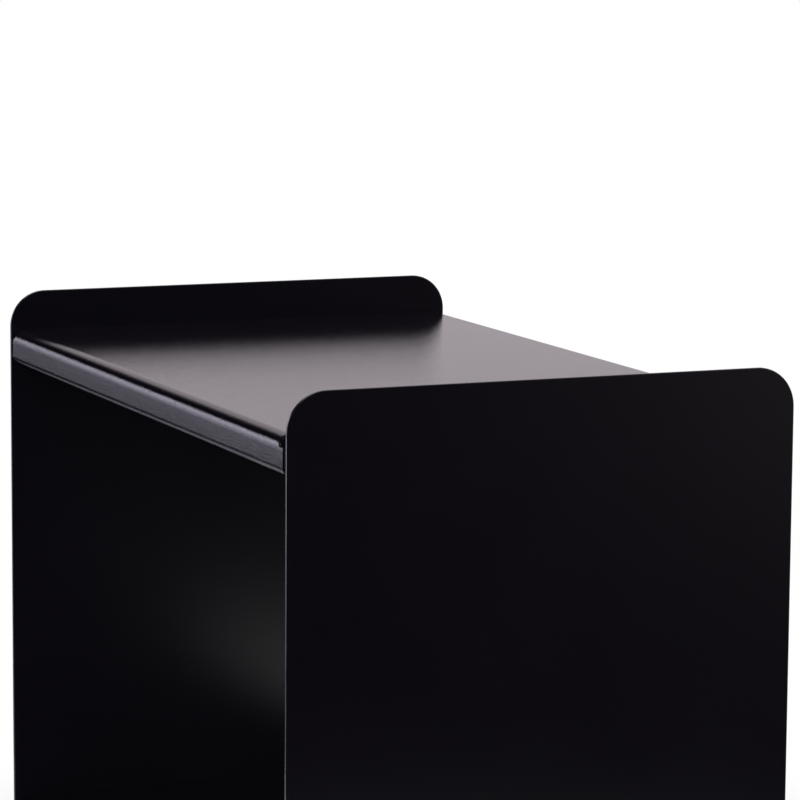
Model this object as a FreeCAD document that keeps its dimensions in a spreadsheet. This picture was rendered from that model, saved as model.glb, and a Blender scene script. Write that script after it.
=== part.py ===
import FreeCAD, Part
import os
import Sketcher

# Free-standing log rack: two upright side plates joined by two folded sheet shelves.
# X runs from side to side, Y from the front opening to the rear one, Z up from the floor.
# The origin lies on the floor, in the middle of the rack.

SIZES = {
    # Whole rack
    "rack_width": 650,
    "rack_depth": 400,
    "rack_height": 500,
    # Side plates, folded inwards at the bottom to carry the feet
    "plate_gauge": 3,
    "plate_corner": 30,
    "plate_bend": 3,
    "foot_flange": 44,
    "flange_corner": 10,
    # Shelves, folded down on all four sides
    "sheet_gauge": 2,
    "top_shelf_drop": 32.5,
    "bottom_shelf_level": 60,
    "shelf_setback": 1,
    "lip_height": 30,
    "lip_bend": 9,
    "lip_end_gap": 8,
    "lip_wall_gap": 1.5,
    "return_width": 18,
    "return_bend": 6,
    "end_flange_height": 25,
    "end_bend": 1.5,
    "relief_radius": 6,
    "relief_inset": 14,
    "relief_sink": 2.5,
    "relief_past_bend": 1,
    "slit_width": 1.5,
    "slit_length": 9,
    # Hat-section stiffeners under the shelves
    "hat_gauge": 1.5,
    "hat_crown": 40,
    "hat_depth": 18,
    "hat_brim": 15,
    "hat_bend": 1.5,
    "hat_end_gap": 25,
    # Studs welded to the side plates, with a wide washer and a nut on each
    "stud_diameter": 6,
    "stud_length": 12,
    "stud_chamfer": 0.6,
    "stud_foot_diameter": 7.5,
    "stud_foot_height": 1,
    "stud_spacing": 130,
    "stud_drop": 14,
    "stud_hole": 8.5,
    "washer_diameter": 18,
    "washer_gauge": 1.6,
    "nut_across_flats": 10,
    "nut_height": 5.2,
    "thread_clearance": 0.05,
    # Levelling feet, screwed through nuts that are welded to the bottom flanges
    "foot_setback": 50,
    "foot_travel": 8,
    "foot_stop_gap": 0.4,
    "weld_nut_across_flats": 14,
    "weld_nut_height": 6.5,
    "stem_diameter": 8,
    "stem_chamfer": 0.8,
    "stem_hole": 9,
    "stem_above_nut": 1,
    "collar_across_flats": 13,
    "collar_height": 5,
    "stem_head_diameter": 12,
    "stem_head_height": 3,
    "swivel_clearance": 0.1,
    "base_diameter": 40,
    "base_height": 10,
    "base_rim_height": 4,
    "base_top_diameter": 22,
    "sole_diameter": 34,
    "sole_thickness": 3,
    "sole_recess": 1,
    "sole_clearance": 0.2,
    "sole_chamfer": 0.5,
}

# Places worked out from the sizes: half spans across the rack, then heights above the floor
INNER_FACE = "(sizes.rack_width / 2 - sizes.plate_gauge)"
LIP_FACE = "(sizes.rack_depth / 2 - sizes.shelf_setback)"
FOOT_X = "(sizes.rack_width / 2 - sizes.foot_flange / 2)"
FOOT_Y = "(sizes.rack_depth / 2 - sizes.foot_setback)"
TOP_SHELF = "(sizes.rack_height - sizes.top_shelf_drop)"
BOTTOM_SHELF = "sizes.bottom_shelf_level"
BASE_BOTTOM = "(sizes.sole_thickness - sizes.sole_recess)"
BASE_TOP = f"({BASE_BOTTOM} + sizes.base_height)"
HEAD_BOTTOM = "(sizes.sole_thickness + sizes.swivel_clearance)"
HEAD_TOP = f"({HEAD_BOTTOM} + sizes.stem_head_height)"
COLLAR_BOTTOM = f"({BASE_TOP} + sizes.swivel_clearance)"
COLLAR_TOP = f"({COLLAR_BOTTOM} + sizes.collar_height)"
FLANGE_BOTTOM = f"({COLLAR_TOP} + sizes.foot_travel + sizes.foot_stop_gap)"
FLANGE_TOP = f"({FLANGE_BOTTOM} + sizes.plate_gauge)"
STEM_TOP = f"({FLANGE_TOP} + sizes.weld_nut_height + sizes.stem_above_nut)"

SIDES = {"right": 1, "left": -1}
ENDS = {"front": -1, "rear": 1}
SHELVES = {"top": TOP_SHELF, "bottom": BOTTOM_SHELF}
STUD_ROW = ("-sizes.stud_spacing", "0", "sizes.stud_spacing")

# Sketch shorthand: the origin's index, the indices of a line's or circle's points, and the index of
# the axis on which a distance is nought
ORIGIN_INDEX = -1
START_INDEX, END_INDEX, CENTRE_INDEX = 1, 2, 3
X_AXIS_INDEX, Y_AXIS_INDEX = -1, -2
AXIS_INDEX = {"DistanceX": Y_AXIS_INDEX, "DistanceY": X_AXIS_INDEX}
# Points nearer than this, in mm, count as one place
SAME_PLACE = 1e-4

doc = FreeCAD.newDocument("log_rack")
sheet = doc.addObject("Spreadsheet::Sheet", "sizes")
for row, (alias, number) in enumerate(SIZES.items(), start=1):
    sheet.set(f"A{row}", alias)
    sheet.set(f"B{row}", str(number))
    sheet.setAlias(f"B{row}", alias)
doc.recompute()
sub_parts = []


def value(expression):
    """The number that an expression on the sheet's sizes gives."""
    return float(sheet.evalExpression(expression))


def new_body(label):
    """A sub-part, named as it is written out."""
    body = doc.addObject("PartDesign::Body", label)
    body.Label = label
    sub_parts.append(body)
    return body


def place(body, x="0", y="0", z="0", half_turn=False):
    """Moves a sub-part to its place, after half a turn about Z where it faces the other way."""
    if half_turn:
        body.Placement.Rotation = FreeCAD.Rotation(FreeCAD.Vector(0, 0, 1), 180)
    for axis, distance in (("x", x), ("y", y), ("z", z)):
        body.setExpression(f"Placement.Base.{axis}", distance)
    doc.recompute()


def sketch_on(body, role, height="0"):
    """An empty sketch on one of the body's origin planes, or at a height above it."""
    sketch = body.newObject("Sketcher::SketchObject", "sketch")
    plane = next(item for item in body.Origin.OriginFeatures if item.Role == role)
    sketch.AttachmentSupport = (plane, [""])
    sketch.MapMode = "FlatFace"
    sketch.setExpression("AttachmentOffset.Base.z", height)
    return sketch


def locate(sketch, kind, geometry, point, distance):
    """Ties a point's distance from the sketch's origin to an expression, or puts it on the axis at 0."""
    if distance == "0":
        sketch.addConstraint(Sketcher.Constraint("PointOnObject", geometry, point, AXIS_INDEX[kind]))
    else:
        rule = Sketcher.Constraint(kind, ORIGIN_INDEX, START_INDEX, geometry, point, value(distance))
        sketch.setExpression(f"Constraints[{sketch.addConstraint(rule)}]", distance)


def outline(sketch, corners):
    """A closed outline through corners given as pairs of expressions.

    A run whose two ends share an expression is upright or level, and is measured once.
    """
    first = sketch.GeometryCount
    count = len(corners)
    spots = [FreeCAD.Vector(value(across), value(up), 0) for across, up in corners]
    for i in range(count):
        sketch.addGeometry(Part.LineSegment(spots[i], spots[(i + 1) % count]))
    for i in range(count):
        follower = (i + 1) % count
        joined = Sketcher.Constraint("Coincident", first + i, END_INDEX, first + follower, START_INDEX)
        sketch.addConstraint(joined)
        if corners[i][0] == corners[follower][0]:
            sketch.addConstraint(Sketcher.Constraint("Vertical", first + i))
        if corners[i][1] == corners[follower][1]:
            sketch.addConstraint(Sketcher.Constraint("Horizontal", first + i))
    for i, (across, up) in enumerate(corners):
        if corners[i - 1][0] != across:
            locate(sketch, "DistanceX", first + i, START_INDEX, across)
        if corners[i - 1][1] != up:
            locate(sketch, "DistanceY", first + i, START_INDEX, up)


def circle(sketch, across, up, diameter):
    """A circle whose centre and diameter are expressions."""
    centre = FreeCAD.Vector(value(across), value(up), 0)
    ring = sketch.addGeometry(Part.Circle(centre, FreeCAD.Vector(0, 0, 1), value(diameter) / 2))
    rule = sketch.addConstraint(Sketcher.Constraint("Diameter", ring, value(diameter)))
    sketch.setExpression(f"Constraints[{rule}]", diameter)
    locate(sketch, "DistanceX", ring, CENTRE_INDEX, across)
    locate(sketch, "DistanceY", ring, CENTRE_INDEX, up)


def hexagon(sketch, across, up, flats):
    """A hexagon about a centre, with two of its flats upright."""
    near, far = f"({across}) - {flats} / 2", f"({across}) + {flats} / 2"
    low, high = f"({up}) - {flats} / sqrt(12)", f"({up}) + {flats} / sqrt(12)"
    bottom, top = f"({up}) - {flats} / sqrt(3)", f"({up}) + {flats} / sqrt(3)"
    outline(sketch, [(near, low), (across, bottom), (far, low), (far, high), (across, top), (near, high)])


def pad(body, sketch, length, both_ways=False):
    """Pulls a sketch out to a length, on one side of its plane or evenly on both."""
    feature = body.newObject("PartDesign::Pad", "pad")
    feature.Profile = sketch
    feature.SideType = "Symmetric" if both_ways else "One side"
    feature.setExpression("Length", length)
    doc.recompute()


def cut(body, sketch, depth=None, onward=False):
    """Cuts a sketch to a depth behind its plane, onward from it, or right through on both sides."""
    volume = body.Shape.Volume
    feature = body.newObject("PartDesign::Pocket", "cut")
    feature.Profile = sketch
    feature.Reversed = onward
    if depth is None:
        feature.Type = "ThroughAll"
        feature.SideType = "Symmetric"
    else:
        feature.setExpression("Length", depth)
    doc.recompute()
    if body.Shape.Volume > volume - SAME_PLACE:
        raise RuntimeError(f"a cut in {body.Label} takes nothing away")


def straight_edges(shape, **line):
    """Names of the straight edges on a line, which is given by two of its coordinates."""
    names = []
    for number, edge in enumerate(shape.Edges, start=1):
        if not isinstance(edge.Curve, Part.Line):
            continue
        gaps = [
            abs(getattr(vertex.Point, axis) - value(distance))
            for vertex in edge.Vertexes
            for axis, distance in line.items()
        ]
        if max(gaps) < SAME_PLACE:
            names.append(f"Edge{number}")
    return names


def round_edges(shape, axis, distance):
    """Names of the round edges whose centres lie at a distance along an axis."""
    names = []
    for number, edge in enumerate(shape.Edges, start=1):
        if not isinstance(edge.Curve, Part.Circle):
            continue
        if abs(getattr(edge.Curve.Center, axis) - value(distance)) < SAME_PLACE:
            names.append(f"Edge{number}")
    return names


def dress(body, kind, size_name, size, pick):
    """Adds a fillet or chamfer on the edges that pick names on the body so far."""
    base = body.Tip
    names = pick(base.Shape)
    if not names:
        raise RuntimeError(f"no edge to dress on {body.Label}")
    feature = body.newObject(f"PartDesign::{kind}", kind.lower())
    feature.Base = (base, names)
    feature.setExpression(size_name, size)
    doc.recompute()


def fold(body, radius, *lines):
    """Rounds the edges on these lines to one radius."""

    def pick(shape):
        return [name for line in lines for name in straight_edges(shape, **line)]

    dress(body, "Fillet", "Radius", radius, pick)


def bevel(body, size, axis, distance):
    """Chamfers the round edges at a distance along an axis."""
    dress(body, "Chamfer", "Size", size, lambda shape: round_edges(shape, axis, distance))


def side_plate(side):
    """Upright plate with rounded top corners and a flange turned in at the bottom for the feet."""
    body = new_body(f"{side}_side_panel")
    outer, inner = "sizes.rack_width / 2", INNER_FACE
    edge = "sizes.rack_width / 2 - sizes.foot_flange"
    front, rear, top = "-sizes.rack_depth / 2", "sizes.rack_depth / 2", "sizes.rack_height"
    profile = sketch_on(body, "XZ_Plane")
    outline(profile, [
        (edge, FLANGE_BOTTOM), (outer, FLANGE_BOTTOM), (outer, top),
        (inner, top), (inner, FLANGE_TOP), (edge, FLANGE_TOP),
    ])
    pad(body, profile, "sizes.rack_depth", both_ways=True)
    fold(body, "sizes.plate_corner", {"y": front, "z": top}, {"y": rear, "z": top})
    fold(body, "sizes.flange_corner", {"x": edge, "y": front}, {"x": edge, "y": rear})
    fold(body, "sizes.plate_bend", {"x": inner, "z": FLANGE_TOP})
    fold(body, "sizes.plate_bend + sizes.plate_gauge", {"x": outer, "z": FLANGE_BOTTOM})
    holes = sketch_on(body, "XY_Plane")
    for end in ENDS.values():
        circle(holes, FOOT_X, f"{end} * {FOOT_Y}", "sizes.stem_hole")
    cut(body, holes)
    place(body, half_turn=SIDES[side] < 0)


def shelf(name, level):
    """Shelf folded from one sheet, with its top face at Z = 0 before it is placed.

    The long sides turn down into lips whose lower edges turn in. The ends turn down into flanges
    that bolt to the side plates. At the right corners reliefs through the bends free the folds from
    each other, and the lips end well clear of the plate. At the left ones the lips run almost to the
    plate, and slits free them from the flange.
    """
    body = new_body(f"{name}_shelf")
    gauge = "-sizes.sheet_gauge"
    face, back = LIP_FACE, f"{LIP_FACE} - sizes.sheet_gauge"
    hem = f"{LIP_FACE} - sizes.return_width"
    foot, over = "-sizes.lip_height", "-sizes.lip_height + sizes.sheet_gauge"
    lips = sketch_on(body, "YZ_Plane", f"-({INNER_FACE} - sizes.lip_wall_gap)")
    outline(lips, [
        (f"-({face})", "0"), (face, "0"), (face, foot), (hem, foot),
        (hem, over), (back, over), (back, gauge), (f"-({back})", gauge),
        (f"-({back})", over), (f"-({hem})", over), (f"-({hem})", foot), (f"-({face})", foot),
    ])
    pad(body, lips, f"2 * {INNER_FACE} - sizes.lip_end_gap - sizes.lip_wall_gap")

    wall, wall_back = INNER_FACE, f"{INNER_FACE} - sizes.sheet_gauge"
    hang = "-sizes.end_flange_height"
    relief_run = "(sizes.lip_bend + sizes.sheet_gauge + sizes.relief_past_bend)"
    slit_side = f"{LIP_FACE} - {relief_run} + sizes.slit_width"
    slit_end = f"{INNER_FACE} - sizes.slit_length"
    notch = sketch_on(body, "XY_Plane")
    outline(notch, [
        (f"-({wall})", f"-({slit_side})"), (f"-({slit_end})", f"-({slit_side})"),
        (f"-({slit_end})", slit_side), (f"-({wall})", slit_side),
    ])
    cut(body, notch, "sizes.sheet_gauge")

    ends = sketch_on(body, "XZ_Plane")
    outline(ends, [
        (f"-({wall})", "0"), (wall, "0"), (wall, hang),
        (wall_back, hang), (wall_back, gauge), (f"-({wall_back})", gauge),
        (f"-({wall_back})", hang), (f"-({wall})", hang),
    ])
    pad(body, ends, f"2 * ({LIP_FACE} - {relief_run})", both_ways=True)

    fold(body, "sizes.lip_bend + sizes.sheet_gauge", {"y": face, "z": "0"}, {"y": f"-({face})", "z": "0"})
    fold(body, "sizes.lip_bend", {"y": back, "z": gauge}, {"y": f"-({back})", "z": gauge})
    outer_return = "sizes.return_bend + sizes.sheet_gauge"
    fold(body, outer_return, {"y": face, "z": foot}, {"y": f"-({face})", "z": foot})
    fold(body, "sizes.return_bend", {"y": back, "z": over}, {"y": f"-({back})", "z": over})
    fold(body, "sizes.end_bend + sizes.sheet_gauge", {"x": wall, "z": "0"}, {"x": f"-({wall})", "z": "0"})
    fold(body, "sizes.end_bend", {"x": wall_back, "z": gauge}, {"x": f"-({wall_back})", "z": gauge})

    middle = f"{INNER_FACE} - sizes.relief_inset"
    floor, above = "-(sizes.relief_sink + sizes.relief_radius)", "sizes.sheet_gauge"
    for end in ENDS.values():
        hole = sketch_on(body, "XZ_Plane", f"{-end} * {face}")
        circle(hole, middle, "-sizes.relief_sink", "2 * sizes.relief_radius")
        cut(body, hole, relief_run, onward=end > 0)
        slot = sketch_on(body, "XZ_Plane", f"{-end} * {face}")
        outline(slot, [(middle, floor), (wall, floor), (wall, above), (middle, above)])
        cut(body, slot, relief_run, onward=end > 0)

    stud_holes = sketch_on(body, "YZ_Plane")
    for along in STUD_ROW:
        circle(stud_holes, along, "-sizes.stud_drop", "sizes.stud_hole")
    cut(body, stud_holes)
    place(body, z=level)


def stiffener(name, level):
    """Hat section under the middle of a shelf, its two brims flat against the sheet."""
    body = new_body(f"{name}_shelf_stiffener")
    skin, drop = "-sizes.hat_gauge", "-sizes.hat_depth"
    crown_top = "-sizes.hat_depth + sizes.hat_gauge"
    outside, inside = "sizes.hat_crown / 2", "sizes.hat_crown / 2 - sizes.hat_gauge"
    brim = "sizes.hat_crown / 2 + sizes.hat_brim"
    seat = "0"
    profile = sketch_on(body, "YZ_Plane")
    outline(profile, [
        (brim, seat), (inside, seat), (inside, crown_top), (f"-({inside})", crown_top),
        (f"-({inside})", seat), (f"-({brim})", seat), (f"-({brim})", skin), (f"-({outside})", skin),
        (f"-({outside})", drop), (outside, drop), (outside, skin), (brim, skin),
    ])
    pad(body, profile, f"2 * ({INNER_FACE} - sizes.hat_end_gap)", both_ways=True)
    outer_bend = "sizes.hat_bend + sizes.hat_gauge"
    fold(body, outer_bend, {"y": inside, "z": seat}, {"y": f"-({inside})", "z": seat},
         {"y": outside, "z": drop}, {"y": f"-({outside})", "z": drop})
    fold(body, "sizes.hat_bend", {"y": outside, "z": skin}, {"y": f"-({outside})", "z": skin},
         {"y": inside, "z": crown_top}, {"y": f"-({inside})", "z": crown_top})
    place(body, z=f"{level} - sizes.sheet_gauge")


def seat_on_plate(body, side, level, stack="0"):
    """Sets a row of fasteners along the studs, with its +X pointing in from a side plate."""
    sign = SIDES[side]
    depth = f"{sign} * ({INNER_FACE} - ({stack}))"
    place(body, x=depth, z=f"{level} - sizes.stud_drop", half_turn=sign > 0)


def weld_studs(name, level, side):
    """Threaded studs whose wider feet are welded to the inside of a side plate."""
    body = new_body(f"{name}_{side}_weld_studs")
    rods = sketch_on(body, "YZ_Plane")
    feet = sketch_on(body, "YZ_Plane")
    for along in STUD_ROW:
        circle(rods, along, "0", "sizes.stud_diameter")
        circle(feet, along, "0", "sizes.stud_foot_diameter")
    pad(body, rods, "sizes.stud_length")
    pad(body, feet, "sizes.stud_foot_height")
    bevel(body, "sizes.stud_chamfer", "x", "sizes.stud_length")
    seat_on_plate(body, side, level)


def washers(name, level, side):
    """Wide washers over the stud holes of a shelf's end flange."""
    body = new_body(f"{name}_{side}_washers")
    rings = sketch_on(body, "YZ_Plane")
    for along in STUD_ROW:
        circle(rings, along, "0", "sizes.washer_diameter")
        circle(rings, along, "0", "sizes.stud_diameter + 2 * sizes.thread_clearance")
    pad(body, rings, "sizes.washer_gauge")
    seat_on_plate(body, side, level, "sizes.sheet_gauge")


def nuts(name, level, side):
    """Hexagon nuts that clamp a shelf's end flange to the side plate."""
    body = new_body(f"{name}_{side}_nuts")
    rings = sketch_on(body, "YZ_Plane")
    for along in STUD_ROW:
        hexagon(rings, along, "0", "sizes.nut_across_flats")
        circle(rings, along, "0", "sizes.stud_diameter + 2 * sizes.thread_clearance")
    pad(body, rings, "sizes.nut_height")
    seat_on_plate(body, side, level, "sizes.sheet_gauge + sizes.washer_gauge")


def weld_nuts(side):
    """Nuts welded on top of a side plate's bottom flange, one over each foot."""
    body = new_body(f"{side}_weld_nuts")
    rings = sketch_on(body, "XY_Plane")
    for end in ENDS.values():
        along = f"{end} * {FOOT_Y}"
        hexagon(rings, "0", along, "sizes.weld_nut_across_flats")
        circle(rings, "0", along, "sizes.stem_diameter + 2 * sizes.thread_clearance")
    pad(body, rings, "sizes.weld_nut_height")
    place(body, x=f"{SIDES[side]} * {FOOT_X}", z=FLANGE_TOP)


def foot_stem(foot, x, y):
    """Threaded stem with a spanner collar and, below it, a head that turns in the foot's base."""
    body = new_body(f"{foot}_foot_stem")
    thread = sketch_on(body, "XY_Plane", HEAD_BOTTOM)
    circle(thread, "0", "0", "sizes.stem_diameter")
    pad(body, thread, f"{STEM_TOP} - {HEAD_BOTTOM}")
    bevel(body, "sizes.stem_chamfer", "z", STEM_TOP)
    head = sketch_on(body, "XY_Plane", HEAD_BOTTOM)
    circle(head, "0", "0", "sizes.stem_head_diameter")
    pad(body, head, "sizes.stem_head_height")
    collar = sketch_on(body, "XY_Plane", COLLAR_BOTTOM)
    hexagon(collar, "0", "0", "sizes.collar_across_flats")
    pad(body, collar, "sizes.collar_height")
    place(body, x, y)


def foot_base(foot, x, y):
    """Moulded base: a tapered disc with a stepped bore for the stem and a recess for the sole."""
    body = new_body(f"{foot}_foot_base")
    neck = "sizes.stem_diameter / 2 + sizes.swivel_clearance"
    pocket = "sizes.stem_head_diameter / 2 + sizes.swivel_clearance"
    recess = "sizes.sole_diameter / 2 + sizes.sole_clearance"
    rim, crown = "sizes.base_diameter / 2", "sizes.base_top_diameter / 2"
    ceiling, shoulder = "sizes.sole_thickness", f"{HEAD_TOP} + sizes.swivel_clearance"
    rim_top = f"{BASE_BOTTOM} + sizes.base_rim_height"
    profile = sketch_on(body, "XZ_Plane")
    outline(profile, [
        (recess, BASE_BOTTOM), (rim, BASE_BOTTOM), (rim, rim_top), (crown, BASE_TOP), (neck, BASE_TOP),
        (neck, shoulder), (pocket, shoulder), (pocket, ceiling), (recess, ceiling),
    ])
    turned = body.newObject("PartDesign::Revolution", "turned")
    turned.Profile = profile
    turned.ReferenceAxis = (profile, ["V_Axis"])
    turned.Angle = 360
    doc.recompute()
    place(body, x, y)


def foot_sole(foot, x, y):
    """Rubber disc set into the underside of the base."""
    body = new_body(f"{foot}_foot_sole")
    disc = sketch_on(body, "XY_Plane")
    circle(disc, "0", "0", "sizes.sole_diameter")
    pad(body, disc, "sizes.sole_thickness")
    bevel(body, "sizes.sole_chamfer", "z", "0")
    place(body, x, y)


for side in SIDES:
    side_plate(side)
    weld_nuts(side)
for shelf_name, shelf_level in SHELVES.items():
    shelf(shelf_name, shelf_level)
    stiffener(shelf_name, shelf_level)
    for side in SIDES:
        weld_studs(shelf_name, shelf_level, side)
        washers(shelf_name, shelf_level, side)
        nuts(shelf_name, shelf_level, side)
for end, end_sign in ENDS.items():
    for side, side_sign in SIDES.items():
        for make in (foot_stem, foot_base, foot_sole):
            make(f"{end}_{side}", f"{side_sign} * {FOOT_X}", f"{end_sign} * {FOOT_Y}")

doc.recompute()
for item in doc.Objects:
    if {"Invalid", "Error"} & set(item.State):
        raise RuntimeError(f"{item.Label} did not build: {item.State}")
for part in sub_parts:
    if part.Shape.isNull() or not part.Shape.isValid():
        raise RuntimeError(f"{part.Label} has no valid shape")

os.makedirs("parts", exist_ok=True)
for part in sub_parts:
    part.Shape.exportStep(f"parts/{part.Label}.step")
    print(part.Label, len(part.Shape.Solids), "solids", round(part.Shape.Volume), "mm3")
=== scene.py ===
import math

import bmesh
import bpy
import numpy as np
from mathutils import Matrix, Vector


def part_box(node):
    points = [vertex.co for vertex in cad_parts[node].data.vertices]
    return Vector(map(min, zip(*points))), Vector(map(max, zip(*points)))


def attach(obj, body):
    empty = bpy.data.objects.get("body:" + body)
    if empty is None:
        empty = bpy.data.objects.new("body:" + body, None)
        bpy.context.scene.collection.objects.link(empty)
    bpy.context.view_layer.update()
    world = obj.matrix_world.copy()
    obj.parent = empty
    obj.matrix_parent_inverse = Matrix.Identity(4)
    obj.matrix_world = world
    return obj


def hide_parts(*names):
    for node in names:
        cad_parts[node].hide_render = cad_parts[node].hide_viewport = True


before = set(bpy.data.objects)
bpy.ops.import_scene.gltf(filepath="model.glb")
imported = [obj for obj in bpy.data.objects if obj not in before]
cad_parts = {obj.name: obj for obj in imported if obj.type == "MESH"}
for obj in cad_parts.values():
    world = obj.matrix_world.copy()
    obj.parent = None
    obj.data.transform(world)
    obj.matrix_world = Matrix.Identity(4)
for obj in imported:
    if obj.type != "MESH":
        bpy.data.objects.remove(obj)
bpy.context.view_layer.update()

MM = 0.001
SIDES = {"right": 1, "left": -1}
ENDS = {"front": -1, "rear": 1}
SHELVES = ("top", "bottom")


def box_mm(node):
    """Lowest and highest corner of a solid, in millimetres."""
    low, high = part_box(node)
    return np.array(low) / MM, np.array(high) / MM


# Sizes in millimetres. What a solid's box gives is read from it, the rest repeats the solids' own sizes.
# A bend is given by its outer radius.
PANEL_LOW, PANEL_HIGH = box_mm("right_side_panel")
SHELF_LOW, SHELF_HIGH = box_mm("top_shelf")
HAT_LOW, HAT_HIGH = box_mm("top_shelf_stiffener")
# Side plates
PLATE_GAUGE, PLATE_CORNER, PLATE_BEND, FLANGE_CORNER = 3.0, 30.0, 6.0, 10.0
# Shelves
SHEET_GAUGE, LIP_BEND, RETURN_WIDTH, RETURN_BEND = 2.0, 11.0, 18.0, 8.0
LIP_END_GAP, LIP_WALL_GAP, END_HEIGHT, END_BEND = 8.0, 1.5, 25.0, 3.5
RELIEF_RADIUS, RELIEF_INSET, RELIEF_SINK, RELIEF_RUN = 6.0, 14.0, 2.5, 12.0
SLIT_WIDTH, SLIT_LENGTH = 1.5, 9.0
# Stiffeners, with the dents of their spot welds
HAT_GAUGE, HAT_CROWN, HAT_BEND = 1.5, 40.0, 3.0
SPOT_RADIUS, SPOT_DEPTH, SPOT_STEP = 3.0, 0.25, 60.0
# Rounding of the coat on the cut edges of plates, shelves and stiffeners
PLATE_EDGE, SHEET_EDGE, HAT_EDGE = 0.8, 0.35, 0.3
# Studs, washers and nuts
STUD_ROW, STUD_DROP, STUD_HOLE = (-130.0, 0.0, 130.0), 14.0, 8.5
STUD_RADIUS, STUD_LENGTH, STUD_CHAMFER, STUD_PLAIN = 3.0, 12.0, 0.6, 5.0
STUD_FOOT_RADIUS, STUD_FOOT_HEIGHT = 3.75, 1.0
WASHER_RADIUS, WASHER_GAUGE, NUT_FLATS, NUT_HEIGHT, STUD_BORE = 9.0, 1.6, 10.0, 5.2, 3.05
WELD_NUT_FLATS, WELD_NUT_HEIGHT, STEM_BORE, STEM_HOLE = 14.0, 6.5, 4.05, 9.0
# Coarse metric threads: pitch and depth, and the share of the pitch that a crest or a root takes
M6_THREAD, M8_THREAD, THREAD_FLAT = (1.0, 0.61), (1.25, 0.77), 0.1
# A hexagon's chamfer circle over its width across flats, and a nut's countersink over its bore's radius
CHAMFER_CIRCLE, COUNTERSINK = 0.475, 0.12
# Levelling feet
FOOT_X, FOOT_Y = 303.0, 150.0
STEM_RADIUS, STEM_CHAMFER, HEAD_RADIUS, HEAD_BOTTOM, HEAD_TOP = 4.0, 0.8, 6.0, 3.1, 6.1
COLLAR_FLATS, COLLAR_BOTTOM, COLLAR_TOP, STEM_PLAIN, STEM_TOP = 13.0, 12.1, 17.1, 18.1, 36.0
BASE_RADIUS, BASE_BOTTOM, BASE_TOP, BASE_RIM, BASE_CROWN = 20.0, 2.0, 12.0, 6.0, 11.0
FLUTES, FLUTE_DEPTH = 18, 0.6
NECK_RADIUS, POCKET_RADIUS, POCKET_TOP, RECESS_RADIUS = 4.1, 6.1, 6.2, 17.2
SOLE_RADIUS, SOLE_TOP, SOLE_CHAMFER = 17.0, 3.0, 0.5
# Grooves of a sole: radii of their middles, depth, and half widths at the mouth and the floor
GROOVES, GROOVE_DEPTH, GROOVE_MOUTH, GROOVE_FLOOR = (13.0, 8.5, 4.0), 0.8, 1.0, 0.6

# How the grids are drawn, in millimetres: gaps between lines that count as one and between points that
# are merged, half the square of cells around a hole, the room that a rounded edge needs beside it, and
# the lines that divide a plate's flat between its feet
SAME_LINE, MERGE_GAP = 1e-3, 2e-3
STEM_SQUARE, STUD_SQUARE, EDGE_ROOM = 8.1, 6.0, 0.6
PLATE_LINES = np.linspace(-120, 120, 5)
# Edges that are sharper than this, in degrees, are cut edges on sheet, and sharp on turned pieces
CUT_ANGLE, TURNED_ANGLE = 50, 35
EDGE_SEGMENTS = 3


# Grids and folds

def lines(*groups):
    """All the given grid lines in one rising row, each once."""
    return np.unique(np.round(np.concatenate([np.atleast_1d(group) for group in groups]), 5))


def fold_path(corners, radii, steps=16):
    """Straight runs between corner points, with each inner corner rounded by an arc.

    An arc of radius r that turns through a leaves its runs r tan(a / 2) before the corner, and its
    points are start + r (sin t along the run + (1 - cos t) towards the centre), with t from 0 to a.
    Gives the points and their distance along the path.
    """
    corners = np.asarray(corners, float)
    points = [corners[:1]]
    for before, corner, after, radius in zip(corners, corners[1:], corners[2:], radii):
        along = (corner - before) / np.linalg.norm(corner - before)
        onward = (after - corner) / np.linalg.norm(after - corner)
        turn = math.acos(float(np.clip(along @ onward, -1, 1)))
        inward = (onward - along * math.cos(turn)) / math.sin(turn)
        angle = np.linspace(0, turn, steps + 1)[:, None]
        start = corner - along * radius * math.tan(turn / 2)
        points.append(start + radius * (along * np.sin(angle) + inward * (1 - np.cos(angle))))
    points.append(corners[-1:])
    points = np.concatenate(points)
    gaps = np.linalg.norm(np.diff(points, axis=0), axis=1)
    points = points[np.concatenate([[True], gaps > 1e-6])]
    run = np.concatenate([[0], np.cumsum(np.linalg.norm(np.diff(points, axis=0), axis=1))])
    return points, run


def along_fold(u, run, path):
    """Both coordinates of the points at distances u along a fold's path."""
    return np.interp(u, run, path[:, 0]), np.interp(u, run, path[:, 1])


def stretch(across, fixed, full, reach):
    """Moves grid lines beyond +-fixed so that the line at +-full comes to lie at +-reach."""
    over = np.clip(np.abs(across) - fixed, 0, None) / (full - fixed)
    return np.sign(across) * (np.minimum(np.abs(across), fixed) + over * (reach - fixed))


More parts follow.
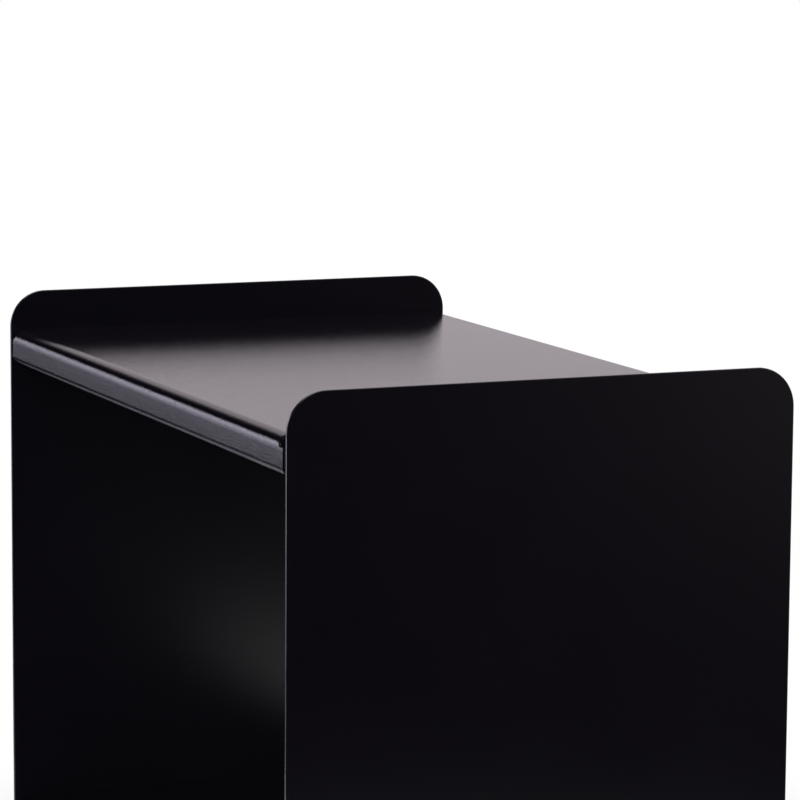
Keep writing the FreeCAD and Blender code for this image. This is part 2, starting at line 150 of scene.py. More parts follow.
def pierced(us, vs, surface, holes=(), half=0.0, radius=0.0):
    """Grid of the lines us and vs on a surface, with round holes.

    A hole takes the place of the square of cells around it. A ring of quads runs from the square's
    rim, point for point, to hole centre + radius (cos a, sin a), with a the rim point's bearing.
    """
    u, v = np.meshgrid(us, vs, indexing="ij")
    ids = np.arange(u.size).reshape(u.shape)
    quads = np.stack([ids[:-1, :-1], ids[1:, :-1], ids[1:, 1:], ids[:-1, 1:]], -1)
    kept = np.ones(quads.shape[:2], bool)
    points, faces = [surface(u, v).reshape(-1, 3)], []
    sides = np.array([-half, half]) - SAME_LINE
    for count, (hole_u, hole_v) in enumerate(holes):
        i, j = np.searchsorted(us, hole_u + sides), np.searchsorted(vs, hole_v + sides)
        kept[i[0]:i[1], j[0]:j[1]] = False
        rim = np.concatenate([ids[i[0]:i[1], j[0]], ids[i[1], j[0]:j[1]],
                              ids[i[1]:i[0]:-1, j[1]], ids[i[0], j[1]:j[0]:-1]])
        bearing = np.arctan2(v.ravel()[rim] - hole_v, u.ravel()[rim] - hole_u)
        points.append(surface(hole_u + radius * np.cos(bearing), hole_v + radius * np.sin(bearing)))
        ring = u.size + count * len(rim) + np.arange(len(rim))
        faces.append(np.stack([rim, np.roll(rim, -1), np.roll(ring, -1), ring], -1))
    return np.concatenate(points), np.concatenate([quads[kept], *faces])


def square_lines(centre, half):
    """The nine grid lines of a hole's square."""
    return centre + half * np.linspace(-1, 1, 9)


def corner_lines(radius, first, count):
    """Grid lines of a rounded corner: its edge, then lines from a first share of the radius to all of it.

    The first line stands off the edge, so that the rounded edge has room at the corner's middle.
    """
    return radius * np.append(0, np.linspace(first, 1, count))


def joined(*patches):
    """Several patches of points and quads as one."""
    starts = np.cumsum([0] + [len(points) for points, _ in patches])
    return (np.concatenate([points for points, _ in patches]),
            np.concatenate([quads + start for (_, quads), start in zip(patches, starts)]))


def flipped(patch):
    """The same patch, facing the other way."""
    points, quads = patch
    return points, quads[:, ::-1]


def half_turn(patch):
    """The same patch after half a turn about the upright axis."""
    points, quads = patch
    return points * [-1, -1, 1], quads


def moved(patch, x, y, z):
    """The same patch at another place."""
    points, quads = patch
    return points + [x, y, z], quads


def mesh_of(name, patch, material):
    """A mesh from a patch's points in millimetres and its quads."""
    points, quads = patch
    mesh = bpy.data.meshes.new(name)
    mesh.from_pydata((points * MM).tolist(), [], quads.tolist())
    mesh.materials.append(material)
    return mesh


def shown(name, data):
    """A new object of the scene."""
    made = bpy.data.objects.new(name, data)
    bpy.context.scene.collection.objects.link(made)
    return made


def build(node, ending, patch, body, slot, material, angle=TURNED_ANGLE):
    """Makes the piece that stands for a solid, closes its seams and hangs it on a body."""
    mesh = mesh_of(f"{node}_{ending}", patch, material)
    work = bmesh.new()
    work.from_mesh(mesh)
    bmesh.ops.remove_doubles(work, verts=work.verts, dist=MERGE_GAP * MM)
    work.to_mesh(mesh)
    work.free()
    mesh.polygons.foreach_set("use_smooth", np.ones(len(mesh.polygons), bool))
    mesh.set_sharp_from_angle(angle=math.radians(angle))
    piece = shown(f"{node}_{ending}", mesh)
    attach(piece, body)
    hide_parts(node)
    return piece


def build_sheet(node, patch, slot, material, gauge, edge):
    """Makes a coated piece of sheet: its skin gets the gauge on the inside, and its cut edges are
    rounded as a thick coat rounds them."""
    piece = build(node, "coated", patch, "rack", slot, material, CUT_ANGLE)
    wall = piece.modifiers.new("gauge", "SOLIDIFY")
    wall.thickness = gauge * MM
    wall.offset = -1
    wall.use_even_offset = True
    wall.use_quality_normals = True
    rounding = piece.modifiers.new("coated_edge", "BEVEL")
    rounding.width = edge * MM
    rounding.segments = EDGE_SEGMENTS
    rounding.limit_method = "ANGLE"
    rounding.angle_limit = math.radians(CUT_ANGLE)
    rounding.harden_normals = True


# Materials

# Most values of a noise texture lie between these
NOISE_LOW, NOISE_HIGH = 0.3, 0.7
# A face is upright or level where its normal's height is below the first of these or above the second
UPRIGHT, LEVEL = 0.1, 0.9


def linear(code):
    """An sRGB hex colour as linear RGBA: c / 12.92 below 0.04045, else ((c + 0.055) / 1.055) ^ 2.4."""
    parts = np.array([int(code[i:i + 2], 16) for i in (1, 3, 5)]) / 255
    parts = np.where(parts <= 0.04045, parts / 12.92, ((parts + 0.055) / 1.055) ** 2.4)
    return (*parts.tolist(), 1.0)


def add(tree, kind, sockets=None, **settings):
    """Adds a node, sets it up, and gives each named input a value or a link from another node's output."""
    made = tree.nodes.new(kind)
    for key, value in settings.items():
        setattr(made, key, value)
    for key, value in (sockets or {}).items():
        if isinstance(value, bpy.types.NodeSocket):
            tree.links.new(value, made.inputs[key])
        else:
            made.inputs[key].default_value = value
    return made


def empty_material(name):
    """A material with nothing but its output node and its Object coordinates."""
    material = bpy.data.materials.new(name)
    material.use_nodes = True
    tree = material.node_tree
    tree.nodes.clear()
    out = add(tree, "ShaderNodeOutputMaterial")
    spot = add(tree, "ShaderNodeTexCoord").outputs["Object"]
    return material, tree, out, spot


def per_metre(size_mm):
    """Noise scale that gives features of a size in millimetres on coordinates in metres."""
    return 1 / MM / size_mm


def powder_coat(name, peel_mm, level_peel, upright_peel, roughness):
    """Black polyester powder coat, sprayed and baked on steel.

    It gives the eye a soft satin sheen, a faint orange peel from the melted powder, which sags more on
    upright faces than it does on level ones, and a fine grain of the matting agent that breaks up
    reflections.
    """
    # The real grain is about 0.1 mm. It is drawn at 0.9 mm, so that it shows at all.
    grain_mm, cloud_mm = 0.9, 60
    peel_depth, grain_depth = 0.4 * MM, 0.2 * MM
    spread = 0.025
    material, tree, out, spot = empty_material(name)
    peel = add(tree, "ShaderNodeTexNoise", {"Vector": spot, "Scale": per_metre(peel_mm), "Detail": 2.0})
    grain = add(tree, "ShaderNodeTexNoise", {"Vector": spot, "Scale": per_metre(grain_mm), "Detail": 3.0})
    cloud = add(tree, "ShaderNodeTexNoise", {"Vector": spot, "Scale": per_metre(cloud_mm), "Detail": 3.0})
    shade = add(tree, "ShaderNodeMix", {
        0: cloud.outputs["Fac"], 6: linear("#0c0a10"), 7: linear("#110f16")}, data_type="RGBA")
    dull = add(tree, "ShaderNodeMapRange", {
        "Value": grain.outputs["Fac"], "From Min": NOISE_LOW, "From Max": NOISE_HIGH,
        "To Min": roughness - spread, "To Max": roughness + spread})
    facing = add(tree, "ShaderNodeNewGeometry").outputs["Normal"]
    facing = add(tree, "ShaderNodeSeparateXYZ", {0: facing})
    slope = add(tree, "ShaderNodeMath", {0: facing.outputs["Z"]}, operation="ABSOLUTE")
    sag = add(tree, "ShaderNodeMapRange", {
        "Value": slope.outputs[0], "From Min": UPRIGHT, "From Max": LEVEL,
        "To Min": upright_peel, "To Max": level_peel})
    relief = add(tree, "ShaderNodeBump", {
        "Height": peel.outputs["Fac"], "Strength": sag.outputs["Result"], "Distance": peel_depth})
    relief = add(tree, "ShaderNodeBump", {
        "Height": grain.outputs["Fac"], "Strength": 0.05, "Distance": grain_depth,
        "Normal": relief.outputs["Normal"]})
    coat = add(tree, "ShaderNodeBsdfPrincipled", {
        "Base Color": shade.outputs[2], "Roughness": dull.outputs["Result"], "IOR": 1.5,
        "Normal": relief.outputs["Normal"]})
    tree.links.new(coat.outputs["BSDF"], out.inputs["Surface"])
    return material


def zinc_plate():
    """Bright zinc, electroplated on cold-formed steel.

    It gives the eye a cool silver sheen with faint clouding and fine tool marks.
    """
    # Tool marks are some hundredths of a millimetre wide. They are drawn at 0.3 mm, so that they show.
    marks_mm, cloud_mm = 0.3, 3
    marks_depth = 0.1 * MM
    material, tree, out, spot = empty_material("bright_zinc_plate")
    cloud = add(tree, "ShaderNodeTexNoise", {"Vector": spot, "Scale": per_metre(cloud_mm), "Detail": 4.0})
    marks = add(tree, "ShaderNodeTexNoise", {"Vector": spot, "Scale": per_metre(marks_mm), "Detail": 2.0})
    shade = add(tree, "ShaderNodeMix", {
        0: cloud.outputs["Fac"], 6: linear("#a9acb0"), 7: linear("#c6c9cf")}, data_type="RGBA")
    dull = add(tree, "ShaderNodeMapRange", {
        "Value": cloud.outputs["Fac"], "From Min": NOISE_LOW, "From Max": NOISE_HIGH,
        "To Min": 0.28, "To Max": 0.42})
    relief = add(tree, "ShaderNodeBump", {
        "Height": marks.outputs["Fac"], "Strength": 0.08, "Distance": marks_depth})
    metal = add(tree, "ShaderNodeBsdfPrincipled", {
        "Base Color": shade.outputs[2], "Metallic": 1.0, "Roughness": dull.outputs["Result"],
        "Normal": relief.outputs["Normal"]})
    tree.links.new(metal.outputs["BSDF"], out.inputs["Surface"])
    return material


def moulded(name, dark, light, grain_mm, grain_depth_mm, roughness):
    """A black plastic or rubber, moulded in an eroded steel tool.

    It gives the eye an even fine grain with a low sheen, and faint clouds.
    """
    cloud_mm, spread = 9, 0.06
    material, tree, out, spot = empty_material(name)
    grain = add(tree, "ShaderNodeTexNoise", {"Vector": spot, "Scale": per_metre(grain_mm), "Detail": 3.0})
    cloud = add(tree, "ShaderNodeTexNoise", {"Vector": spot, "Scale": per_metre(cloud_mm), "Detail": 4.0})
    shade = add(tree, "ShaderNodeMix", {
        0: cloud.outputs["Fac"], 6: linear(dark), 7: linear(light)}, data_type="RGBA")
    dull = add(tree, "ShaderNodeMapRange", {
        "Value": grain.outputs["Fac"], "From Min": NOISE_LOW, "From Max": NOISE_HIGH,
        "To Min": roughness - spread, "To Max": roughness + spread})
    relief = add(tree, "ShaderNodeBump", {
        "Height": grain.outputs["Fac"], "Strength": 0.3, "Distance": grain_depth_mm * MM})
    body = add(tree, "ShaderNodeBsdfPrincipled", {
        "Base Color": shade.outputs[2], "Roughness": dull.outputs["Result"], "IOR": 1.53,
        "Normal": relief.outputs["Normal"]})
    tree.links.new(body.outputs["BSDF"], out.inputs["Surface"])
    return material


PLATE_COAT = powder_coat("satin_powder_coat_on_plate", peel_mm=2.4, level_peel=0.06, upright_peel=0.06,
                         roughness=0.21)
SHEET_COAT = powder_coat("satin_powder_coat_on_sheet", peel_mm=1.7, level_peel=0.28, upright_peel=0.6,
                         roughness=0.1)
ZINC = zinc_plate()
NYLON = moulded("moulded_black_nylon", "#141416", "#1c1c1f", grain_mm=0.5, grain_depth_mm=0.08,
                roughness=0.5)
RUBBER = moulded("moulded_black_rubber", "#1a1a1a", "#262625", grain_mm=0.8, grain_depth_mm=0.12,
                 roughness=0.8)


# Side plates

def rounded(edge, across, half, radius):
    """Rounds the corners at both ends of an edge, for points at a distance from it.

    A corner's square block, with a across and b towards the edge from 0 to 1, is drawn in to a
    quarter disc: (b sin ka + a cos kb - c, b cos ka + a sin kb - c) times the radius, with k an
    eighth of a turn and c = a b sqrt(1/2). All other points stay.
    """
    a = np.clip(1 + (np.abs(across) - half) / radius, 0, 1)
    b = np.clip(1 - edge / radius, 0, 1)
    eighth, shared = math.pi / 4, a * b * math.sqrt(0.5)
    reach = b * np.sin(eighth * a) + a * np.cos(eighth * b) - shared
    rise = b * np.cos(eighth * a) + a * np.sin(eighth * b) - shared
    across = np.sign(across) * (np.minimum(np.abs(across), half - radius) + radius * reach)
    return np.maximum(edge, radius) - radius * rise, across


def side_panel_skin():
    """Outer skin of the right side plate: a line down the plate and in along its foot flange, carried
    from front to rear, with its four corners rounded."""
    outer, top, flange, edge = PANEL_HIGH[0], PANEL_HIGH[2], PANEL_LOW[2], PANEL_LOW[0]
    half_depth = PANEL_HIGH[1]
    path, run = fold_path([(outer, top), (outer, flange), (edge, flange)], [PLATE_BEND])
    length = run[-1]

    def surface(u, v):
        u, v = rounded(u, v, half_depth, PLATE_CORNER)
        rest, v = rounded(length - u, v, half_depth, FLANGE_CORNER)
        x, z = along_fold(length - rest, run, path)
        return np.stack([x, v, z], -1)

    corner = corner_lines(PLATE_CORNER, first=0.15, count=9)
    flange_corner = corner_lines(FLANGE_CORNER, first=0.3, count=3)
    hole = length - (FOOT_X - edge)
    us = lines(run, corner, length - flange_corner, square_lines(hole, STEM_SQUARE))
    vs = lines(half_depth - corner, corner - half_depth, PLATE_LINES,
               square_lines(-FOOT_Y, STEM_SQUARE), square_lines(FOOT_Y, STEM_SQUARE))
    return pierced(us, vs, surface, [(hole, -FOOT_Y), (hole, FOOT_Y)], STEM_SQUARE, STEM_HOLE / 2)


PANEL_SKIN = side_panel_skin()
for side, sign in SIDES.items():
    skin = PANEL_SKIN if sign > 0 else half_turn(PANEL_SKIN)
    build_sheet(f"{side}_side_panel", skin, "powder_coated_plate", PLATE_COAT, PLATE_GAUGE, PLATE_EDGE)


# Shelves

def shelf_skin():
    """Outer skin of a folded shelf, with its top face at height 0.

    The main grid carries the line return, lip, top, lip, return from the left slits to the right
    reliefs, where its end follows x = middle - sqrt(r^2 - (z + sink)^2). Tabs take the lips to their
    own ends and the top, between them, to the end bends. Two more grids carry the end bends and
    flanges from front to rear, with a round hole for each stud.
    """
    face, wall, lip = SHELF_HIGH[1], SHELF_HIGH[0], SHELF_HIGH[2] - SHELF_LOW[2]
    hem, flange_half, bend_start = face - RETURN_WIDTH, face - RELIEF_RUN, wall - END_BEND
    middle, floor = wall - RELIEF_INSET, -(RELIEF_SINK + RELIEF_RADIUS)
    slit_half, slit_end = flange_half + SLIT_WIDTH, SLIT_LENGTH - wall
    # The last stretch of the grid, of this length, gives way to the reliefs.
    give = 30
    fixed = middle - give
    path, run = fold_path([(-hem, -lip), (-face, -lip), (-face, 0), (face, 0), (face, -lip), (hem, -lip)],
                          [RETURN_BEND, LIP_BEND, LIP_BEND, RETURN_BEND], steps=40)
    length, centre = run[-1], run[-1] / 2
    flange_path, flange_run = fold_path([(bend_start, 0), (wall, 0), (wall, -END_HEIGHT)], [END_BEND],
                                        steps=10)
    hole = flange_run[-1] - (END_HEIGHT - STUD_DROP)

    def relief_end(z):
        over = np.clip(z, floor, 0) + RELIEF_SINK
        return middle - np.sqrt(np.clip(RELIEF_RADIUS ** 2 - over ** 2, 0, None))

    def fold(u, v):
        y, z = along_fold(u, run, path)
        reach = np.where(v > 0, relief_end(z), middle)
        return np.stack([stretch(v, fixed, middle, reach), y, z], -1)

    def tab(u, v):
        return np.stack([v, *along_fold(u, run, path)], -1)

    def flange(u, v):
        x, z = along_fold(u, flange_run, flange_path)
        return np.stack([x, v, z], -1)

    # Grid lines at even bearings round a relief, without those too near its ends
    rising = path[:, 0] < 0
    bearing = np.delete(np.linspace(0, math.acos(-RELIEF_SINK / RELIEF_RADIUS), 12), [1, -1])
    relief = np.interp(-RELIEF_SINK - RELIEF_RADIUS * np.cos(bearing), path[rising, 1], run[rising])
    ys = lines([-flange_half, flange_half], *[square_lines(y, STUD_SQUARE) for y in STUD_ROW])
    # Beside the cuts the fold's own lines give way, so that the rounded edges have room.
    cuts = np.concatenate([relief, length - relief, centre + slit_half * np.array([-1, 1])])
    clear = np.abs(run[:, None] - cuts).min(axis=1) > EDGE_ROOM
    us = lines(run[clear], cuts, centre + ys)
    main = pierced(us, lines([slit_end, middle], np.linspace(-fixed, fixed, 9)), fold)
    off = us - centre
    top = np.abs(off) < flange_half + SAME_LINE
    tabs = [(top, (float(relief_end(0.0)), bend_start)), (top, (-bend_start, slit_end))]
    for end in ENDS.values():
        tabs += [(end * off > centre - relief[0] - SAME_LINE, (middle, wall - LIP_END_GAP)),
                 (end * off > slit_half - SAME_LINE, (LIP_WALL_GAP - wall, slit_end))]
    patches = [flipped(pierced(us[rows], np.array(columns), tab)) for rows, columns in tabs]
    flange_us = lines(flange_run, square_lines(hole, STUD_SQUARE))
    side = pierced(flange_us, ys, flange, [(hole, y) for y in STUD_ROW], STUD_SQUARE, STUD_HOLE / 2)
    return joined(flipped(main), *patches, side, half_turn(side))


def hat_skin():
    """Lower skin of a stiffener: the line brim, wall, crown, wall, brim carried along the shelf.

    Spot welds press dents into the brims. At a distance d from its spot's middle, a point is
    depth (1 + cos(pi d / r)) / 2 higher, as far as the spot's radius r.
    """
    brim, drop = HAT_HIGH[1], HAT_LOW[2] - HAT_HIGH[2]
    outside, end = HAT_CROWN / 2, HAT_HIGH[0]
    corners = [(-brim, -HAT_GAUGE), (-outside, -HAT_GAUGE), (-outside, drop),
               (outside, drop), (outside, -HAT_GAUGE), (brim, -HAT_GAUGE)]
    inner_bend = HAT_BEND - HAT_GAUGE
    path, run = fold_path(corners, [inner_bend, HAT_BEND, HAT_BEND, inner_bend], steps=10)
    spot_line = (brim + outside) / 2
    last = SPOT_STEP * ((end - SPOT_RADIUS) // SPOT_STEP)

    def surface(u, v):
        y, z = along_fold(u, run, path)
        along = v - np.clip(SPOT_STEP * np.round(v / SPOT_STEP), -last, last)
        away = np.hypot(along, np.abs(y) - spot_line) / SPOT_RADIUS
        return np.stack([v, y, z + SPOT_DEPTH * (1 + np.cos(math.pi * np.clip(away, 0, 1))) / 2], -1)

    ring = SPOT_RADIUS * np.linspace(-1, 1, 9)
    spots = np.arange(-last, last + 1, SPOT_STEP)
    us = lines(run, brim - spot_line + ring, run[-1] - (brim - spot_line) + ring)
    return pierced(us, lines([-end, end], *[spot + ring for spot in spots]), surface)


SHELF_SKIN, HAT_SKIN = shelf_skin(), hat_skin()
for shelf in SHELVES:
    level = box_mm(f"{shelf}_shelf")[1][2]
    build_sheet(f"{shelf}_shelf", moved(SHELF_SKIN, 0, 0, level), "powder_coated_sheet", SHEET_COAT,
                SHEET_GAUGE, SHEET_EDGE)
    build_sheet(f"{shelf}_shelf_stiffener", moved(HAT_SKIN, 0, 0, level - SHEET_GAUGE),
                "powder_coated_sheet", SHEET_COAT, HAT_GAUGE, HAT_EDGE)


# Fasteners and feet

def turned(corners, radii, limit, step, count):
    """A blank turned about the Z axis and cut back to a limit.

    Its profile (r, h) runs through corners, up the inside and down the outside, with the corners
    between its ends rounded by radii. A point is (q cos a, q sin a, h), with q = min(r, limit(h, a)).
    Rings lie at most a step apart along the profile, and a ring has count points.
    """
    path, run = fold_path(corners, radii, steps=4)

    def surface(u, a):
        r, h = along_fold(u, run, path)
        q = np.minimum(r, limit(h, a))
        return np.stack([q * np.cos(a), q * np.sin(a), h], -1)

    rings = lines(run, np.arange(0, run[-1], step))
    return pierced(rings, np.linspace(0, 2 * math.pi, count + 1), surface)


def unlimited(h, a):
    """Limit of a blank that stays as it was turned."""
    return np.full(np.broadcast(h, a).shape, np.inf)


def hexagon(flats):
    """Limit of a hexagon: half its width across flats, over the cosine of the bearing from a flat."""
    def limit(h, a):
        return flats / 2 / np.cos((a + math.pi / 6) % (math.pi / 3) - math.pi / 6)
    return limit


def hexagon_chamfer(flats):
    """Radius over a hexagon's corners, radius of its chamfer circle, and drop of its 30 degree chamfer."""
    corner, circle = flats / math.sqrt(3), CHAMFER_CIRCLE * flats
    return corner, circle, (corner - circle) * math.tan(math.pi / 6)


def thread(radius, pitch, depth, start):
    """Limit of a right-hand thread above a height: flanks between flat crests and roots.

    With its phase h / pitch - a / 2 pi, it falls from a crest at 0 to the root at a half and rises again.
    """
    def limit(h, a):
        phase = (h / pitch - a / (2 * math.pi)) % 1
        cut = (1 - np.abs(2 * phase - 1) - THREAD_FLAT) / (1 - 2 * THREAD_FLAT)
        return np.where(h > start, radius - depth * np.clip(cut, 0, 1), np.inf)
    return limit


def nut(flats, height, bore, foot_chamfer):
    """Hexagon nut: a blank with a countersunk bore and 30 degree chamfers, cut back to a hexagon."""
    corner, circle, drop = hexagon_chamfer(flats)
    sink = COUNTERSINK * bore
    foot = [(corner, drop), (circle, 0)] if foot_chamfer else [(corner, 0)]
    corners = [(bore, height / 2), (bore, height - sink), (bore + sink, height), (circle, height),
               (corner, height - drop), *foot, (bore + sink, 0), (bore, sink), (bore, height / 2)]
    return turned(corners, [0.05] * (len(corners) - 2), hexagon(flats), step=0.15, count=72)


def stud():
    """Weld stud: a flat foot with a small fillet, a plain shank and a thread down to the nut."""
    corners = [(0, STUD_LENGTH), (STUD_RADIUS - STUD_CHAMFER, STUD_LENGTH),
               (STUD_RADIUS, STUD_LENGTH - STUD_CHAMFER), (STUD_RADIUS, STUD_FOOT_HEIGHT),
               (STUD_FOOT_RADIUS, STUD_FOOT_HEIGHT), (STUD_FOOT_RADIUS, 0), (0, 0)]
    return turned(corners, [0.1, 0.1, 0.3, 0.3, 0.05], thread(STUD_RADIUS, *M6_THREAD, STUD_PLAIN),
                  step=0.12, count=40)


def washer():
    """Washer stamped from sheet: its upper edge is drawn round and its lower edge is nearly sharp."""
    half = WASHER_GAUGE / 2
    corners = [(STUD_BORE, half), (STUD_BORE, WASHER_GAUGE), (WASHER_RADIUS, WASHER_GAUGE),
               (WASHER_RADIUS, 0), (STUD_BORE, 0), (STUD_BORE, half)]
    return turned(corners, [0.2, 0.5, 0.12, 0.12], unlimited, step=1.0, count=64)


def stem():
    """Foot stem: thread, hexagon collar with chamfers, plain neck and round head, about the Z axis."""
    corner, circle, drop = hexagon_chamfer(COLLAR_FLATS)
    corners = [(0, STEM_TOP), (STEM_RADIUS - STEM_CHAMFER, STEM_TOP),
               (STEM_RADIUS, STEM_TOP - STEM_CHAMFER), (STEM_RADIUS, COLLAR_TOP),
               (circle, COLLAR_TOP), (corner, COLLAR_TOP - drop),
               (corner, COLLAR_BOTTOM + drop), (circle, COLLAR_BOTTOM),
               (STEM_RADIUS, COLLAR_BOTTOM), (STEM_RADIUS, HEAD_TOP),
               (HEAD_RADIUS, HEAD_TOP), (HEAD_RADIUS, HEAD_BOTTOM), (0, HEAD_BOTTOM)]
    screw, collar = thread(STEM_RADIUS, *M8_THREAD, STEM_PLAIN), hexagon(COLLAR_FLATS)

    def limit(h, a):
        return np.minimum(screw(h, a), collar(h, a))

    return turned(corners, [0.1, 0.1, 0.3, 0.05, 0.1, 0.1, 0.05, 0.2, 0.2, 0.4, 0.4], limit,
                  step=0.15, count=72)


def foot_base():
    """Moulded foot base: a domed disc with a stepped bore, a recess for the sole and a fluted rim.

    The flutes take the rim's radius in by depth max(0, cos(flutes a))^2.
    """
    middle = (POCKET_TOP + BASE_TOP) / 2
    corners = [(NECK_RADIUS, middle), (NECK_RADIUS, BASE_TOP), (BASE_CROWN, BASE_TOP),
               (BASE_RADIUS, BASE_RIM), (BASE_RADIUS, BASE_BOTTOM), (RECESS_RADIUS, BASE_BOTTOM),
               (RECESS_RADIUS, SOLE_TOP), (POCKET_RADIUS, SOLE_TOP), (POCKET_RADIUS, POCKET_TOP),
               (NECK_RADIUS, POCKET_TOP), (NECK_RADIUS, middle)]

    def limit(h, a):
        fluted = BASE_RADIUS - FLUTE_DEPTH * np.clip(np.cos(FLUTES * a), 0, None) ** 2
        return np.where(h < BASE_TOP, fluted, np.inf)

    return turned(corners, [0.4, 3.0, 2.0, 0.6, 0.2, 0.1, 0.1, 0.1, 0.1], limit, step=0.6, count=216)


def sole():
    """Rubber sole with three round grooves in its tread, which leave the floor plane where it is."""
    tread = [(r, h) for middle in GROOVES
             for r, h in ((middle + GROOVE_MOUTH, 0), (middle + GROOVE_FLOOR, GROOVE_DEPTH),
                          (middle - GROOVE_FLOOR, GROOVE_DEPTH), (middle - GROOVE_MOUTH, 0))]
    corners = [(0, SOLE_TOP), (SOLE_RADIUS, SOLE_TOP), (SOLE_RADIUS, SOLE_CHAMFER),
               (SOLE_RADIUS - SOLE_CHAMFER, 0), *tread, (0, 0)]
    return turned(corners, [0.2, 0.15, 0.15] + [0.1] * len(tread), unlimited, step=1.0, count=72)


def on_wall(patch, sign, depth, along, level):
    """A turned patch with its axis pointing in from a side plate, from a depth inside the plate's face."""
    points, quads = patch
    a, b, h = points.T
    x = sign * (SHELF_HIGH[0] - depth - h)
    return np.stack([x, along - sign * a, level + b], -1), quads


NUT = nut(NUT_FLATS, NUT_HEIGHT, STUD_BORE, foot_chamfer=True)
STACK = {"weld_studs": (stud(), 0.0), "washers": (washer(), SHEET_GAUGE),
         "nuts": (NUT, SHEET_GAUGE + WASHER_GAUGE)}
for shelf in SHELVES:
    level = box_mm(f"{shelf}_shelf")[1][2] - STUD_DROP
    for side, sign in SIDES.items():
        for kind, (patch, depth) in STACK.items():
            row = joined(*[on_wall(patch, sign, depth, along, level) for along in STUD_ROW])
            build(f"{shelf}_{side}_{kind}", "plated", row, "rack", "zinc_plated_steel", ZINC)

WELD_NUT = nut(WELD_NUT_FLATS, WELD_NUT_HEIGHT, STEM_BORE, foot_chamfer=False)
for side, sign in SIDES.items():
    node = f"{side}_weld_nuts"
    seat = box_mm(node)[0][2]
    pair = joined(*[moved(WELD_NUT, sign * FOOT_X, end * FOOT_Y, seat) for end in ENDS.values()])
    build(node, "coated", pair, "rack", "powder_coated_plate", PLATE_COAT)

FOOT_PIECES = {"stem": (stem(), "plated", "screw", "zinc_plated_steel", ZINC),
               "base": (foot_base(), "moulded", "foot", "foot_nylon", NYLON),
               "sole": (sole(), "moulded", "foot", "foot_rubber", RUBBER)}
for end, end_sign in ENDS.items():
    for side, sign in SIDES.items():
        for kind, (patch, ending, body, slot, material) in FOOT_PIECES.items():
            placed = moved(patch, sign * FOOT_X, end_sign * FOOT_Y, 0)
            build(f"{end}_{side}_foot_{kind}", ending, placed, f"{end}_{side}_{body}", slot, material)


# Camera

# Place in metres, angles in radians: the view turns from -X towards +Y, then down, then about itself
CAMERA_PLACE = (2.788207, -1.156456, 0.875067)
YAW, PITCH, ROLL = 0.40011, 0.14284, 0.00677
SENSOR, LENS, CLIP_END = 36.0, 172.95, 50

camera_data = bpy.data.cameras.new("camera")
camera_data.sensor_width = SENSOR
camera_data.lens = LENS
camera_data.clip_end = CLIP_END
camera = shown("camera", camera_data)
ahead = np.array([-math.cos(YAW) * math.cos(PITCH), math.sin(YAW) * math.cos(PITCH), -math.sin(PITCH)])
level_right = np.array([math.sin(YAW), math.cos(YAW), 0])
level_up = np.cross(level_right, ahead)
right = math.cos(ROLL) * level_right + math.sin(ROLL) * level_up
up = math.cos(ROLL) * level_up - math.sin(ROLL) * level_right
facing = Matrix(np.stack([right, up, -ahead], 1).tolist()).to_4x4()
camera.matrix_world = Matrix.Translation(CAMERA_PLACE) @ facing
bpy.context.scene.camera = camera


# Floor

# Radius in millimetres. Between the two distances from the middle, in metres, the floor's share of plain
# white rises from the first to the second.
FLOOR_RADIUS = 760
SHADOW_REACH, WHITE_SHARE = (0.3, 0.72), (0.5, 1.0)


def floor_disc():
    """Round floor: (r cos a, r sin a, 0), with r from 0 to the radius."""
    def surface(u, v):
        return np.stack([u * np.cos(v), u * np.sin(v), 0 * u], -1)
    return pierced(np.linspace(0, FLOOR_RADIUS, 9), np.linspace(0, 2 * math.pi, 97), surface)


def floor_white():
    """White studio floor: near the object half of what the camera and reflections see keeps the shadow,
    and towards the rim all of it is plain white. It is clear from below."""
    material, tree, out, spot = empty_material("white_studio_floor")
    far = add(tree, "ShaderNodeVectorMath", {0: spot}, operation="LENGTH")
    white = add(tree, "ShaderNodeMapRange", {
        "Value": far.outputs["Value"], "From Min": SHADOW_REACH[0], "From Max": SHADOW_REACH[1],
        "To Min": WHITE_SHARE[0], "To Max": WHITE_SHARE[1]}, interpolation_type="SMOOTHSTEP")
    path = add(tree, "ShaderNodeLightPath")
    seen = add(tree, "ShaderNodeMath", {
        0: path.outputs["Is Camera Ray"], 1: path.outputs["Is Glossy Ray"]}, operation="MAXIMUM")
    seen = add(tree, "ShaderNodeMath", {
        0: seen.outputs[0], 1: path.outputs["Is Transmission Ray"]}, operation="MAXIMUM")
    share = add(tree, "ShaderNodeMath", {0: seen.outputs[0], 1: white.outputs[0]}, operation="MULTIPLY")
    matt = add(tree, "ShaderNodeBsdfDiffuse", {"Color": linear("#f4f4f4")})
    glow = add(tree, "ShaderNodeEmission", {"Color": linear("#ffffff"), "Strength": 1.0})
    both = add(tree, "ShaderNodeMixShader", {0: share.outputs[0], 1: matt.outputs[0], 2: glow.outputs[0]})
    clear = add(tree, "ShaderNodeBsdfTransparent")
    below = add(tree, "ShaderNodeNewGeometry").outputs["Backfacing"]
    sided = add(tree, "ShaderNodeMixShader", {0: below, 1: both.outputs[0], 2: clear.outputs[0]})
    tree.links.new(sided.outputs[0], out.inputs["Surface"])
    return material


floor = shown("floor", mesh_of("floor", floor_disc(), floor_white()))


# Light

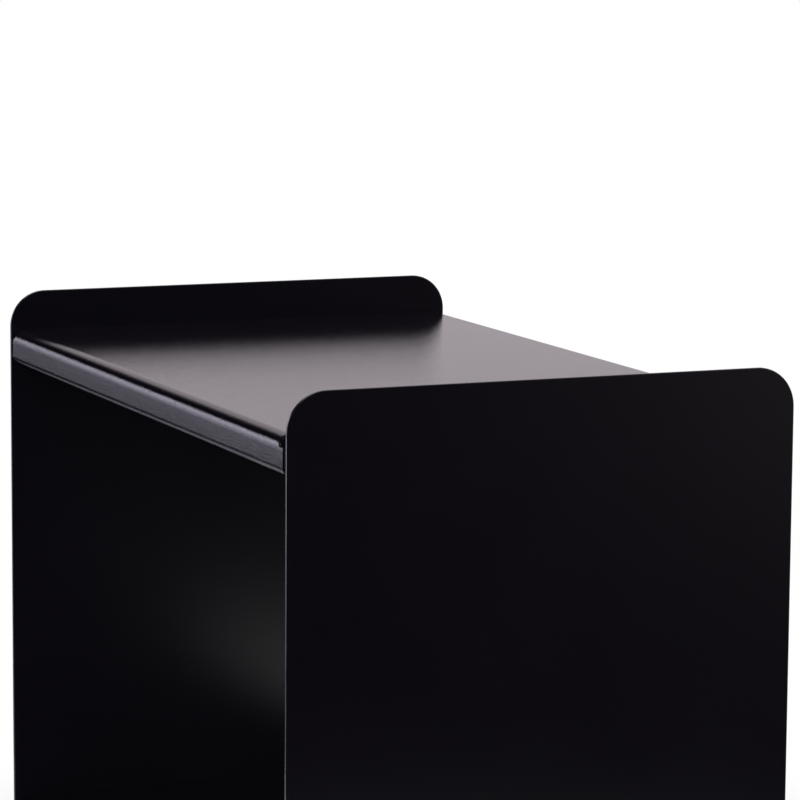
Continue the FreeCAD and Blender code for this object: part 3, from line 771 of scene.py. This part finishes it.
# The room as patches of light, by their colour. A patch has the bearing of its middle in degrees, the
# cosines of the angle from there at which it starts and is full, and ramps that multiply its strength.
# A ramp goes from one height of a direction to another and from one strength to another.
BACKDROP_FOOT = (-0.22, -0.10, 0, 1)
SIDE_TOP = (0.19, 0.25, 1, 0)
ROOM = {
    "#fff4fc": {
        "backdrop_middle": (96, 0.68, 0.90, [(0.45, 0.80, 0.24, 0.096), BACKDROP_FOOT]),
        "backdrop": (105, 0.16, 0.36, [(0.45, 0.80, 0.70, 0.28), BACKDROP_FOOT]),
        "front_glow": (320, 0.30, 0.80, [(0.15, 0.40, 0, 0.3)]),
    },
    "#f0ebff": {
        "side_light_foot": (226, 0.85, 0.885, [(-0.24, -0.05, 0.1, 1.0), SIDE_TOP]),
        "side_light": (226, 0.85, 0.885, [(-0.08, 0.17, 0, 1.8), SIDE_TOP]),
        "edge_light": (226, 0.957, 0.982, [(-0.25, -0.15, 0, 7.5), (-0.06, 0.02, 1, 0)]),
        "pale_floor": (185, 0.64, 0.90, [(-0.35, -0.27, 0.45, 0)]),
    },
}


def studio_world():
    """White to the camera. To all else it is a room with a white backdrop behind the object, a low
    soft light at its front left with a pale floor below it, and a faint glow on the camera's side."""
    world = bpy.data.worlds.new("studio")
    world.use_nodes = True
    tree = world.node_tree
    tree.nodes.clear()
    out = add(tree, "ShaderNodeOutputWorld")
    direction = add(tree, "ShaderNodeTexCoord").outputs["Generated"]
    height = add(tree, "ShaderNodeSeparateXYZ", {0: direction}).outputs["Z"]
    flat = add(tree, "ShaderNodeVectorMath", {0: direction, 1: (1, 1, 0)}, operation="MULTIPLY")
    flat = add(tree, "ShaderNodeVectorMath", {0: flat.outputs[0]}, operation="NORMALIZE")
    lights = []
    for colour, patches in ROOM.items():
        total = 0.0
        for degrees, start, full, ramps in patches.values():
            aim = (math.cos(math.radians(degrees)), math.sin(math.radians(degrees)), 0)
            near = add(tree, "ShaderNodeVectorMath", {0: flat.outputs[0], 1: aim}, operation="DOT_PRODUCT")
            patch = add(tree, "ShaderNodeMapRange", {
                "Value": near.outputs["Value"], "From Min": start, "From Max": full},
                interpolation_type="SMOOTHSTEP")
            for low, high, bottom, top in ramps:
                ramp = add(tree, "ShaderNodeMapRange", {
                    "Value": height, "From Min": low, "From Max": high, "To Min": bottom, "To Max": top},
                    interpolation_type="SMOOTHSTEP")
                patch = add(tree, "ShaderNodeMath", {0: patch.outputs[0], 1: ramp.outputs[0]},
                            operation="MULTIPLY")
            total = add(tree, "ShaderNodeMath", {0: total, 1: patch.outputs[0]}, operation="ADD")
            total = total.outputs[0]
        lights.append(add(tree, "ShaderNodeBackground", {"Color": linear(colour), "Strength": total}))
    room = add(tree, "ShaderNodeAddShader", {0: lights[0].outputs[0], 1: lights[1].outputs[0]})
    path = add(tree, "ShaderNodeLightPath")
    seen = add(tree, "ShaderNodeMath", {
        0: path.outputs["Is Camera Ray"], 1: path.outputs["Is Transmission Ray"]}, operation="MAXIMUM")
    white = add(tree, "ShaderNodeBackground", {"Color": linear("#ffffff"), "Strength": 1.0})
    both = add(tree, "ShaderNodeMixShader", {0: seen.outputs[0], 1: room.outputs[0], 2: white.outputs[0]})
    tree.links.new(both.outputs[0], out.inputs["Surface"])
    return world


def soft_light(name, place, aim, size, watts, mirrored):
    """Square soft box at a place, turned to an aim, both in metres, and mirrored in gloss or not."""
    lamp = bpy.data.lights.new(name, "AREA")
    lamp.shape = "RECTANGLE"
    lamp.size = lamp.size_y = size
    lamp.energy = watts
    made = shown(name, lamp)
    made.rotation_mode = "QUATERNION"
    made.rotation_quaternion = (Vector(aim) - Vector(place)).to_track_quat("-Z", "Y")
    made.location = place
    made.visible_camera = False
    made.visible_glossy = mirrored


bpy.context.scene.world = studio_world()
soft_light("overhead", place=(-0.3, -0.3, 2.4), aim=(0, 0, 0.2), size=1.8, watts=26, mirrored=True)
soft_light("fill", place=(2.6, -1.6, 1.3), aim=(0, 0, 0.25), size=1.6, watts=36, mirrored=False)

bpy.context.scene.view_settings.view_transform = "Standard"
